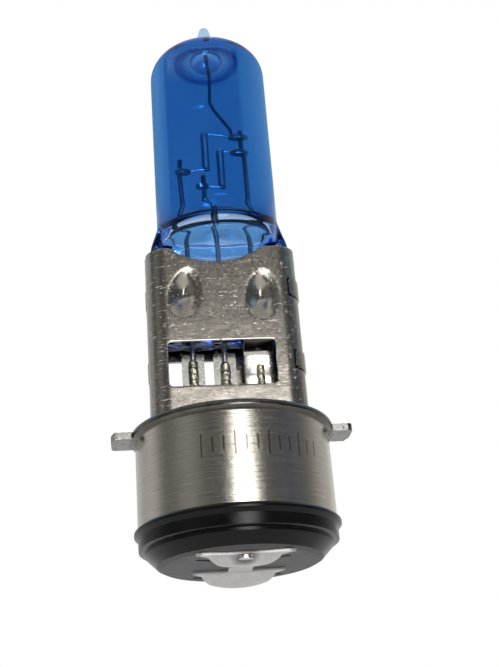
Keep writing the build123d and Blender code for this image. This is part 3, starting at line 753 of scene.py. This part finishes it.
# ---------------------------------------------------------------- filaments, clamps and welds
def make_filament(name, node, x, bottom, legs):
    """Coil wound from one wire, with a shiny straight leg to a clamp at each end."""
    top = box_mm(node)[1].z
    bm = bmesh.new()
    outer = bm.verts.layers.float.new("outer")
    wire = bmesh.ops.create_circle(bm, segments=COIL_SIDES, radius=COIL_WIRE)["verts"]
    bmesh.ops.transform(bm, verts=wire, matrix=Matrix.Rotation(pi / 2, 4, "X"))
    bmesh.ops.translate(bm, verts=wire, vec=(x + COIL_RADIUS, 0, bottom + COIL_WIRE))
    rise = (top - bottom - 2 * COIL_WIRE) / (COIL_TURNS * COIL_STEPS)
    bmesh.ops.spin(bm, geom=bm.edges[:], cent=(x, 0, 0), axis=(0, 0, 1), dvec=(0, 0, rise),
                   angle=tau * COIL_TURNS, steps=COIL_TURNS * COIL_STEPS)
    bmesh.ops.remove_doubles(bm, verts=bm.verts[:], dist=1e-5)
    bmesh.ops.holes_fill(bm, edges=[edge for edge in bm.edges if edge.is_boundary], sides=COIL_SIDES)
    # painted shade: the 'outer' layer is 0 on the inner side of each turn, which the finish colours dark
    for vert in bm.verts:
        out = hypot(vert.co.x - x, vert.co.y) - COIL_RADIUS
        vert[outer] = smooth_step(out, 0.2 * COIL_WIRE, 0.9 * COIL_WIRE)
    coil = set(bm.verts)
    for start_z, end in legs:
        side = 1 if end[0] > x else -1
        rod(bm, (x + side * COIL_RADIUS * 0.6, 0, start_z), (end[0], 0, end[1]), LEG_WIRE)
    for vert in bm.verts:
        if vert not in coil:
            vert[outer] = 1.0
    bmesh.ops.recalc_face_normals(bm, faces=bm.faces[:])
    return finish_piece(name, bm, FINISHES["tungsten"], [node], 60.0)


def make_filaments():
    """Both coils; their legs run to the clamps that hold them."""
    main_low, main_high = box_mm("main_filament")
    dip_low, dip_high = box_mm("dip_filament")
    upper, lower, main, dip = (sum(box_mm(clamp), Vector()) / 2 for clamp in CLAMPS)
    make_filament("main_coil", "main_filament", MAIN_COIL_X, MAIN_COIL_BOTTOM,
                  ((MAIN_COIL_BOTTOM + LEG_WIRE, (main_low.x, main.z)),
                   (main_high.z - LEG_WIRE, (main_high.x, upper.z))))
    make_filament("dip_coil", "dip_filament", DIP_COIL_X, dip_low.z,
                  ((dip_low.z + LEG_WIRE, (dip_low.x, dip.z)),
                   (dip_high.z - LEG_WIRE, (dip_high.x, lower.z))))


def make_clamp(node):
    """Small folded tab, pinched flat towards its ends."""
    low, high = box_mm(node)
    middle, size = (low + high) / 2, high - low
    bm = bmesh.new()
    bmesh.ops.create_cube(bm, size=1.0)
    bmesh.ops.scale(bm, vec=size, verts=bm.verts[:])
    along = [e for e in bm.edges if abs(e.verts[0].co.x - e.verts[1].co.x) > size.x / 2]
    bmesh.ops.subdivide_edges(bm, edges=along, cuts=TAB_CUTS, use_grid_fill=True)
    for vert in bm.verts:
        across = vert.co.x / size.x * 2
        vert.co.y *= 1.0 - 0.55 * across ** 4
        vert.co.z *= 1.0 - 0.25 * abs(across) ** 3
        vert.co.z += 0.03 * sin(5 * across)
    corners = [e for e in bm.edges if e.calc_face_angle(0) > 0.9]
    bmesh.ops.bevel(bm, geom=corners, offset=TAB_EDGE, segments=3, profile=0.5, affect="EDGES", material=-1)
    bmesh.ops.translate(bm, verts=bm.verts[:], vec=middle)
    return finish_piece(node + "_tab", bm, FINISHES["clamp_sheet"], [node], 40.0)


def lump(name, node, slot, size, roughness, seed):
    """Uneven bead of metal that fills a frame node's box."""
    low, high = box_mm(node)
    middle, half = (low + high) / 2, (high - low) / 2
    bm = bmesh.new()
    bmesh.ops.create_icosphere(bm, subdivisions=5, radius=1.0)
    for vert in bm.verts:
        way = vert.co.copy()
        spot = Vector((way.x * half.x, way.y * half.y, way.z * half.z))
        swell = 1 + roughness * (ripple(spot, size, seed) + 0.5 * ripple(spot, size * 2.3, seed + 4))
        girth = max(hypot(way.x, way.y), 1e-6)
        full = min(1.0, girth * 1.6) / girth
        vert.co = middle + Vector((way.x * full * half.x, way.y * full * half.y, way.z * half.z))
        vert.co += (vert.co - middle) * (swell - 1) * 0.8
    return finish_piece(name, bm, FINISHES[slot], [node], 60.0)


# ---------------------------------------------------------------- holder
def section(u, out=0.0):
    """Place on the holder's oval section at a distance u from the middle of the front, and out from it."""
    along, side = abs(u), (1 if u >= 0 else -1)
    if along <= FRONT_FLAT:
        x, y, nx, ny = along, -HOLDER_HALF_DEPTH, 0.0, -1.0
    elif along <= SIDE_START:
        a = (along - FRONT_FLAT) / CORNER
        nx, ny = sin(a), -cos(a)
        x, y = FRONT_FLAT + CORNER * nx, -SIDE_FLAT / 2 + CORNER * ny
    elif along <= SIDE_END:
        nx, ny = 1.0, 0.0
        x, y = HOLDER_HALF_WIDTH, along - SIDE_START - SIDE_FLAT / 2
    else:
        a = (along - SIDE_END) / CORNER
        nx, ny = cos(a), sin(a)
        x, y = FRONT_FLAT + CORNER * nx, SIDE_FLAT / 2 + CORNER * ny
    return side * (x + nx * out), y + ny * out


def dimple_depth(u, v):
    """How far the sheet is pressed in at a place on the front."""
    deepest = 0.0
    for x, z, lean in DIMPLES:
        turn = radians(lean)
        across = ((u - x) * cos(turn) - (v - z) * sin(turn)) / DIMPLE_HALF_WIDTH
        up = ((u - x) * sin(turn) + (v - z) * cos(turn)) / DIMPLE_HALF_HEIGHT
        reach = hypot(across / (1 - 0.18 * up), up)
        if reach < 1:
            bowl = smooth_step(1 - reach, -0.12, 0.95)
            lobe = 0.30 * smooth_step(across + 0.35 * up, -0.15, 0.45) * smooth_step(1 - reach, 0.0, 0.5)
            deepest = max(deepest, DIMPLE_DEPTH * (bowl - lobe) * smooth_step(1 - reach, 0.0, 0.10))
    return deepest


def holder_place(u, v):
    """Place in space of a point on the flat sheet: u round the holder, v up it and out along its foot."""
    out = -dimple_depth(u, v)
    if abs(u) > HALF_EDGE - LUG_ROOT:
        out += LUG_PROUD * smooth_step(abs(u), HALF_EDGE - LUG_ROOT / 2, HALF_EDGE + LUG_ROOT / 2) * (u < 0)
    z = v
    below = FOOT_BEND_TOP - v
    if below > 0:
        arc_run = FOOT_BEND * pi / 2
        if below < arc_run:
            out += FOOT_BEND * (1 - cos(below / FOOT_BEND))
            z = FOOT_BEND_TOP - FOOT_BEND * sin(below / FOOT_BEND)
        else:
            out += FOOT_BEND + below - arc_run
            z = FOOT_Z
    x, y = section(u, out)
    return Vector((x, y, z))


def saddle_line():
    """Curved upper edge of a half, from right to left."""
    radius = (SADDLE_WIDTH ** 2 / 4 + SADDLE_DEPTH ** 2) / (2 * SADDLE_DEPTH)
    centre_z = HOLDER_HIGH.z - SADDLE_DEPTH + radius
    half_turn = atan2(SADDLE_WIDTH / 2, radius - SADDLE_DEPTH) * 180 / pi
    return arc((SADDLE_SHIFT, centre_z), radius, -90 + half_turn, -90 - half_turn, 24)


def asin_share(share):
    """Arc sine."""
    return atan2(share, sqrt(1 - share * share))


def holder_outline():
    """Edge of a half laid flat, with its slots at the right and its lugs at the left."""
    top, foot = HOLDER_HIGH.z, FOOT_BEND_TOP - FOOT_RUN
    slot_u = FRONT_FLAT + CORNER * asin_share((HOLDER_HALF_WIDTH - LUG_FOLD - FRONT_FLAT) / CORNER)
    tab_u = 2 * HALF_EDGE + HOLDER_SPLIT - slot_u - LUG_CLEARANCE
    right, left = [], []
    for bottom in LUG_BOTTOMS:
        right += [(HALF_EDGE, bottom), (slot_u, bottom),
                  (slot_u, bottom + LUG_HEIGHT), (HALF_EDGE, bottom + LUG_HEIGHT)]
        low, high = bottom + LUG_CLEARANCE, bottom + LUG_HEIGHT - LUG_CLEARANCE
        left += [(-HALF_EDGE, low), (-tab_u + LUG_CHAMFER, low), (-tab_u, low + LUG_CHAMFER),
                 (-tab_u, high - LUG_CHAMFER), (-tab_u + LUG_CHAMFER, high), (-HALF_EDGE, high)]
    return ([(-HALF_EDGE, foot), (HALF_EDGE, foot)] + right + [(HALF_EDGE, top)] + saddle_line()
            + [(-HALF_EDGE, top)] + left[::-1])


def make_holder(name, node, turn, window):
    """One half, modelled in front and turned to its side."""
    left, right, bottom, top = window
    bm = scored_sheet([holder_outline(), rounded_box(left, right, bottom, top, WINDOW_CORNER)], SHEET_STEP)
    for vert in bm.verts:
        vert.co = holder_place(vert.co.x, vert.co.y)
    bmesh.ops.recalc_face_normals(bm, faces=bm.faces[:])
    before = Vector((0, 2 * HOLDER_LOW.y, HOLDER_HIGH.z / 2))
    front = min(bm.faces, key=lambda face: (face.calc_center_median() - before).length)
    if front.normal.y > 0:
        bmesh.ops.reverse_faces(bm, faces=bm.faces[:])
    bmesh.ops.rotate(bm, verts=bm.verts[:], cent=(0, 0, 0), matrix=Matrix.Rotation(turn, 3, "Z"))
    piece = finish_piece(name, bm, FINISHES["holder_nickel"], [node], sharp=40.0)
    thicken(piece, SHEET)
    round_edges(piece, HOLDER_EDGE, 3, 50)
    return piece


def make_tongue():
    """Earth tongue bent in from the front window's upper edge and down in front of the common lead-out."""
    left, right, end, bend = TONGUE
    face = box_mm("common_lead")[0].y - LEAD_GAP - SHEET
    path = [(out - HOLDER_HALF_DEPTH, FRONT_WINDOW[3] + up) for out, up in TONGUE_ROOT]
    path += [(face - out, bend + up) for out, up in TONGUE_BEND] + [(face, end)]
    bm = bmesh.new()
    verts = [bm.verts.new((left, y, z)) for y, z in path]
    edges = [bm.edges.new(pair) for pair in zip(verts, verts[1:])]
    made = bmesh.ops.extrude_edge_only(bm, edges=edges)["geom"]
    bmesh.ops.translate(bm, vec=(right - left, 0, 0),
                        verts=[v for v in made if isinstance(v, bmesh.types.BMVert)])
    bmesh.ops.recalc_face_normals(bm, faces=bm.faces[:])
    if min(bm.faces, key=lambda face: face.calc_center_median().z).normal.y > 0:
        bmesh.ops.reverse_faces(bm, faces=bm.faces[:])
    piece = finish_piece("earth_tongue", bm, FINISHES["tongue_nickel"], sharp=60.0)
    thicken(piece, SHEET)
    round_edges(piece, TONGUE_EDGE, 3, 50)
    return piece


# ---------------------------------------------------------------- insulator and contacts
def insulator_profile():
    """Half section of the insulator, from the middle of its face out and up over the lip to its plug."""
    face, step, plug = CAP_RADIUS - FACE_IN, CAP_RADIUS - STEP_IN, CAP_RADIUS - SHELL_WALL
    under_wall, over_step, under_step = (LIP_TOP - drop for drop in STEP_DROPS)
    return [(0, INSULATOR_FACE), (face - FACE_EDGE[0], INSULATOR_FACE),
            (face, INSULATOR_FACE + FACE_EDGE[1]), (CAP_RADIUS - STEP_FOOT_IN, under_step),
            (step, over_step), (step, under_wall), (CAP_RADIUS, LIP_TOP - WALL_DROP),
            (CAP_RADIUS + WALL_BULGE[0], LIP_TOP - WALL_BULGE[1]), (LIP_RADIUS, LIP_TOP - LIP_HEIGHT),
            (LIP_RADIUS, LIP_TOP - LIP_CHAMFER),
            (LIP_RADIUS - LIP_CHAMFER, LIP_TOP), (plug, LIP_TOP), (plug, INSULATOR_HIGH.z),
            (0, INSULATOR_HIGH.z)]


def make_insulator():
    """Moulded base with a locating slot at each end of both contact plates."""
    bm = bmesh.new()
    turned(bm, insulator_profile(), INSULATOR_COLUMNS)
    bmesh.ops.recalc_face_normals(bm, faces=bm.faces[:])
    piece = finish_piece("moulded_base", bm, FINISHES["insulator"], ["base_insulator"],
                         sharp=50.0)
    for front in (box_mm("main_contact")[0].y, box_mm("dip_contact")[1].y - CONTACT_HALF):
        for side in (-1, 1):
            cut_slot(piece, side * LOCATING_SLOT_X, front + LOCATING_SLOT_BACK, -side * LOCATING_SLOT_TURN)
    round_edges(piece, MOULDED_EDGE, 3, 12)
    return piece


def cut_slot(piece, x, y, turn):
    """Locating slot beside a contact plate."""
    bm = bmesh.new()
    bmesh.ops.create_cube(bm, size=1.0)
    bmesh.ops.scale(bm, vec=LOCATING_SLOT, verts=bm.verts[:])
    bmesh.ops.rotate(bm, cent=(0, 0, 0), matrix=Matrix.Rotation(radians(turn), 3, "Z"), verts=bm.verts[:])
    bmesh.ops.translate(bm, vec=(x, y, INSULATOR_FACE), verts=bm.verts[:])
    bmesh.ops.scale(bm, vec=(MM, MM, MM), verts=bm.verts[:])
    mesh = bpy.data.meshes.new("slot_cutter")
    bm.to_mesh(mesh)
    bm.free()
    cutter = bpy.data.objects.new("slot_cutter", mesh)
    bpy.context.scene.collection.objects.link(cutter)
    cut = piece.modifiers.new("slot", "BOOLEAN")
    cut.operation = "DIFFERENCE"
    cut.solver = "EXACT"
    cut.object = cutter
    apply_modifiers(piece)
    bpy.data.objects.remove(cutter)


def apply_modifiers(piece):
    """Bakes the modifiers into the mesh."""
    depsgraph = bpy.context.evaluated_depsgraph_get()
    made = bpy.data.meshes.new_from_object(piece.evaluated_get(depsgraph))
    piece.modifiers.clear()
    piece.data = made


def make_contact(name, node, front, tab):
    """Domed contact plate: straight front edge, round back, with a locating tab on the dip contact."""
    run, nose_in, nose_up = CONTACT_CORNER
    outline = [(CONTACT_HALF - run, front), (CONTACT_HALF - nose_in, front + nose_up)]
    for k in range(1, CONTACT_POINTS):
        across = cos(pi * k / CONTACT_POINTS)
        belly = 1 - abs(across) ** 1.6
        if not tab:
            belly = 0.4 * belly + 0.6 * cos(across * pi / 2) ** 2
        outline.append((CONTACT_HALF * across, front + max(CONTACT_HALF * belly, CONTACT_SIDE)))
    outline += [(-CONTACT_HALF + nose_in, front + nose_up), (-CONTACT_HALF + run, front)]
    if tab:
        outline += [(-TAB_HALF_WIDTH, front), (-TAB_HALF_WIDTH, front - TAB_LENGTH),
                    (TAB_HALF_WIDTH, front - TAB_LENGTH), (TAB_HALF_WIDTH, front)]
    bm = scored_sheet([outline], CONTACT_STEP)
    middle = front + DOME_SETBACK + DOME_HALF_WIDTH
    drop = INSULATOR_FACE - box_mm(node)[0].z
    for vert in bm.verts:
        x, y = vert.co.x, vert.co.y
        reach = hypot(x / DOME_HALF_LENGTH, (y - middle) / DOME_HALF_WIDTH)
        swell = (drop - CONTACT_SHEET) * max(0.0, 1 - reach ** 2) ** 0.8
        vert.co.z = INSULATOR_FACE - CONTACT_SHEET - swell
    bmesh.ops.recalc_face_normals(bm, faces=bm.faces[:])
    if bm.faces[:][0].normal.z > 0:
        bmesh.ops.reverse_faces(bm, faces=bm.faces[:])
    low, high = box_mm(node.replace("contact", "solder"))
    stain_at = ((low.x + high.x) / 2, (low.y + high.y) / 2, low.z)
    tin = tinned_sheet(name + "_tin", stain_at)
    piece = finish_piece(name, bm, tin, [node], sharp=50.0)
    thicken(piece, CONTACT_SHEET - CONTACT_CLEARANCE)
    round_edges(piece, CONTACT_EDGE, 2, 50)
    return piece


# ---------------------------------------------------------------- pieces that keep their frame mesh
KEPT = {
    "cap_nickel": ("cap_shell",),
    "collar_nickel": ("bayonet_collar",),
    "support_wire": ("main_support", "dip_support", "common_support", "tip_anchor"),
    "lead_wire": ("main_lead", "dip_lead", "common_lead"),
    "foil": ("main_foil", "dip_foil", "common_foil"),
    "strip_steel": ("main_strip", "dip_strip"),
}
SOFT_EDGES = {"bayonet_collar": 0.13, "main_strip": 0.10, "dip_strip": 0.10}
SAME_POINT = 0.001  # corners nearer than this become one


def finish_kept_nodes():
    """Finishes for the pieces whose frame shape is right; three also get softer edges."""
    for finish, nodes in KEPT.items():
        for node in nodes:
            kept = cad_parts[node]
            for slot in kept.material_slots:
                slot.material = FINISHES[finish]
    for node, width in SOFT_EDGES.items():
        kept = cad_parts[node]
        joined = kept.modifiers.new("join", "WELD")
        joined.merge_threshold = SAME_POINT * MM
        round_edges(kept, width, 3, 40)


# ---------------------------------------------------------------- studio
FLOOR_REACH = 3.0  # metres, as is the drop
FLOOR_DROP = 0.06
LIGHT_BOUNCES = 40  # the thick seal sends light round many times


def make_floor():
    """Plain pale floor, well below the bulb."""
    bm = bmesh.new()
    bmesh.ops.create_grid(bm, x_segments=1, y_segments=1, size=FLOOR_REACH)
    mesh = bpy.data.meshes.new("studio_floor")
    bm.to_mesh(mesh)
    bm.free()
    floor = bpy.data.objects.new("studio_floor", mesh)
    floor.location.z = -FLOOR_DROP
    bpy.context.scene.collection.objects.link(floor)
    finish, tree, shader = new_finish("pale_floor")
    dress(tree, shader, Base_Color=(0.86, 0.86, 0.87, 1), Roughness=0.8)
    mesh.materials.append(finish)


AROUND_METAL = (  # turn from the front in degrees and the light seen there
    (-180, 0.62), (-155, 0.58), (-135, 0.44), (-120, 0.50), (-108, 0.46), (-98, 0.24), (-88, 0.16),
    (-79, 0.18), (-62, 0.27), (-55, 0.28), (-47, 0.21), (-32, 0.115), (-18, 0.15), (0, 0.17), (24, 0.17),
    (38, 0.125), (52, (0.11, 0.12, 0.14)), (62, (0.08, 0.095, 0.13)), (71, (0.13, 0.14, 0.17)), (80, 0.12),
    (90, 0.20), (101, 0.30), (113, 0.46), (128, 0.52), (152, 0.75), (180, 0.65),
)
BEHIND_GLASS, BESIDE_GLASS, FRONT_OF_GLASS = (0.16, 0.30, 0.45), (0.40, 0.86, 1.15), 0.05
AROUND_GLASS = (
    (-180, BEHIND_GLASS), (-150, (0.22, 0.46, 0.64)), (-128, BESIDE_GLASS), (-104, BESIDE_GLASS),
    (-96, FRONT_OF_GLASS), (56, FRONT_OF_GLASS), (66, BESIDE_GLASS), (100, BESIDE_GLASS),
    (135, (0.28, 0.56, 0.78)), (180, BEHIND_GLASS),
)
OVER_GLASS = ((-96, 0.0), (-88, 1.0), (48, 1.0), (56, 0.0))  # more light above the dark front
GLASS_CLIMB = ((30.2, 0.0), (31.2, 1.0))  # heights in degrees where each of these begins
OVER_GLASS_CLIMB = ((37.2, 0.0), (38.4, 1.0))
CEILING_CLIMB = ((42, 0.0), (46, 1.0))
CEILING_LIGHT = 0.5
SOFT_LIGHT = 0.95
STREAK_LIGHT = 8.0
GLINT_LIGHT = 60.0
STREAK_ROUND = ((-7, 0.0), (0, 1.0), (12, 1.0), (20, 0.0))  # the soft light in front, by turn
STREAK_CLIMB = ((-3, 0.0), (4, 1.0), (15, 1.0), (18.5, 0.0))  # and by height in degrees


def around(tree, turn, stops):
    """Light by the turn from the front, where turn runs from 0 to 1 for -180 to 180 degrees."""
    return ramp(tree, turn, [((angle + 180) / 360, level) for angle, level in stops])


def background(tree, colour):
    return add(tree, "Background", Color=colour, Strength=1.0).outputs[0]


def by_ray(tree, kind, others, chosen):
    """One light for a kind of ray and another for all the others."""
    mixed = add(tree, "MixShader", Fac=kind)
    tree.links.new(others, mixed.inputs[1])
    tree.links.new(chosen, mixed.inputs[2])
    return mixed.outputs[0]


def make_studio():
    """Soft white surround with a darker front, a soft light low in front and a dim ceiling."""
    world = bpy.data.worlds.new("studio")
    bpy.context.scene.world = world
    world.use_nodes = True
    world.cycles.sampling_method = "NONE"
    tree = world.node_tree
    tree.nodes.clear()
    way = add(tree, "TexCoord").outputs["Generated"]
    x, y, z = add(tree, "SeparateXYZ", Vector=way).outputs
    angle = calc(tree, "ARCTAN2", x, times(tree, y, -1.0))
    turn = plus(tree, over(tree, angle, tau), 0.5)
    climb = plus(tree, over(tree, calc(tree, "ARCSINE", z), pi), 0.5)

    def by_climb(stops):
        return ramp(tree, climb, [((angle + 90) / 180, level) for angle, level in stops])

    streak = times(tree, around(tree, turn, STREAK_ROUND), by_climb(STREAK_CLIMB))
    low_band = blend_colour(tree, streak, around(tree, turn, AROUND_METAL), grey(STREAK_LIGHT))
    band = blend_colour(tree, by_climb(GLASS_CLIMB), low_band, around(tree, turn, AROUND_GLASS))
    above = times(tree, by_climb(OVER_GLASS_CLIMB), around(tree, turn, OVER_GLASS))
    band = blend_colour(tree, above, band, grey(1.0))
    seen = blend_colour(tree, by_climb(CEILING_CLIMB), band, grey(CEILING_LIGHT))
    path = add(tree, "LightPath").outputs
    through = blend_colour(tree, streak, grey(1.0), grey(GLINT_LIGHT))
    light = by_ray(tree, path["Is Glossy Ray"], background(tree, grey(SOFT_LIGHT)), background(tree, seen))
    light = by_ray(tree, path["Is Transmission Ray"], light, background(tree, through))
    light = by_ray(tree, path["Is Camera Ray"], light, background(tree, grey(1.0)))
    tree.links.new(light, add(tree, "OutputWorld").inputs["Surface"])
    scene = bpy.context.scene
    scene.view_settings.view_transform = "Standard"
    scene.view_settings.look = "None"
    for kind in ("max_bounces", "glossy_bounces", "transmission_bounces"):
        setattr(scene.cycles, kind, LIGHT_BOUNCES)


CAMERA_PLACE = (-0.009515, -0.10482, -0.03433)  # metres
CAMERA_PITCH, CAMERA_YAW, CAMERA_ROLL = 23.737, 6.656, -4.571
CAMERA_LENS = 57.26


def make_camera():
    """Camera below the cap and in front of it, looking up."""
    pitch, yaw, roll = radians(CAMERA_PITCH), radians(CAMERA_YAW), radians(CAMERA_ROLL)
    ahead = Vector((sin(yaw) * cos(pitch), cos(yaw) * cos(pitch), sin(pitch)))
    level = Vector((cos(yaw), -sin(yaw), 0))
    above = level.cross(ahead)
    right = level * cos(roll) + above * sin(roll)
    up = above * cos(roll) - level * sin(roll)
    lens = bpy.data.cameras.new("camera")
    lens.lens = CAMERA_LENS
    lens.clip_start = 0.005
    camera = bpy.data.objects.new("camera", lens)
    facing = Matrix((right, up, -ahead)).transposed().to_4x4()
    camera.matrix_world = Matrix.Translation(CAMERA_PLACE) @ facing
    bpy.context.scene.collection.objects.link(camera)
    bpy.context.scene.camera = camera


make_camera()
make_studio()
make_floor()
make_glass()
make_filaments()
for clamp in CLAMPS:
    make_clamp(clamp)
make_holder("front_half", "front_holder", 0.0, FRONT_WINDOW)
make_holder("rear_half", "rear_holder", pi, REAR_WINDOW)
make_tongue()
for seed, line in enumerate(("main", "dip", "common")):
    lump(line + "_bead", line + "_weld", "weld", 2.2, 0.22, 3.0 + seed)
lump("main_solder_button", "main_solder", "solder", 1.6, 0.10, 11.0)
lump("dip_solder_button", "dip_solder", "solder", 1.6, 0.10, 12.0)
make_insulator()
make_contact("main_plate", "main_contact", box_mm("main_contact")[0].y, False)
make_contact("dip_plate", "dip_contact", box_mm("dip_contact")[1].y - CONTACT_HALF, True)
finish_kept_nodes()
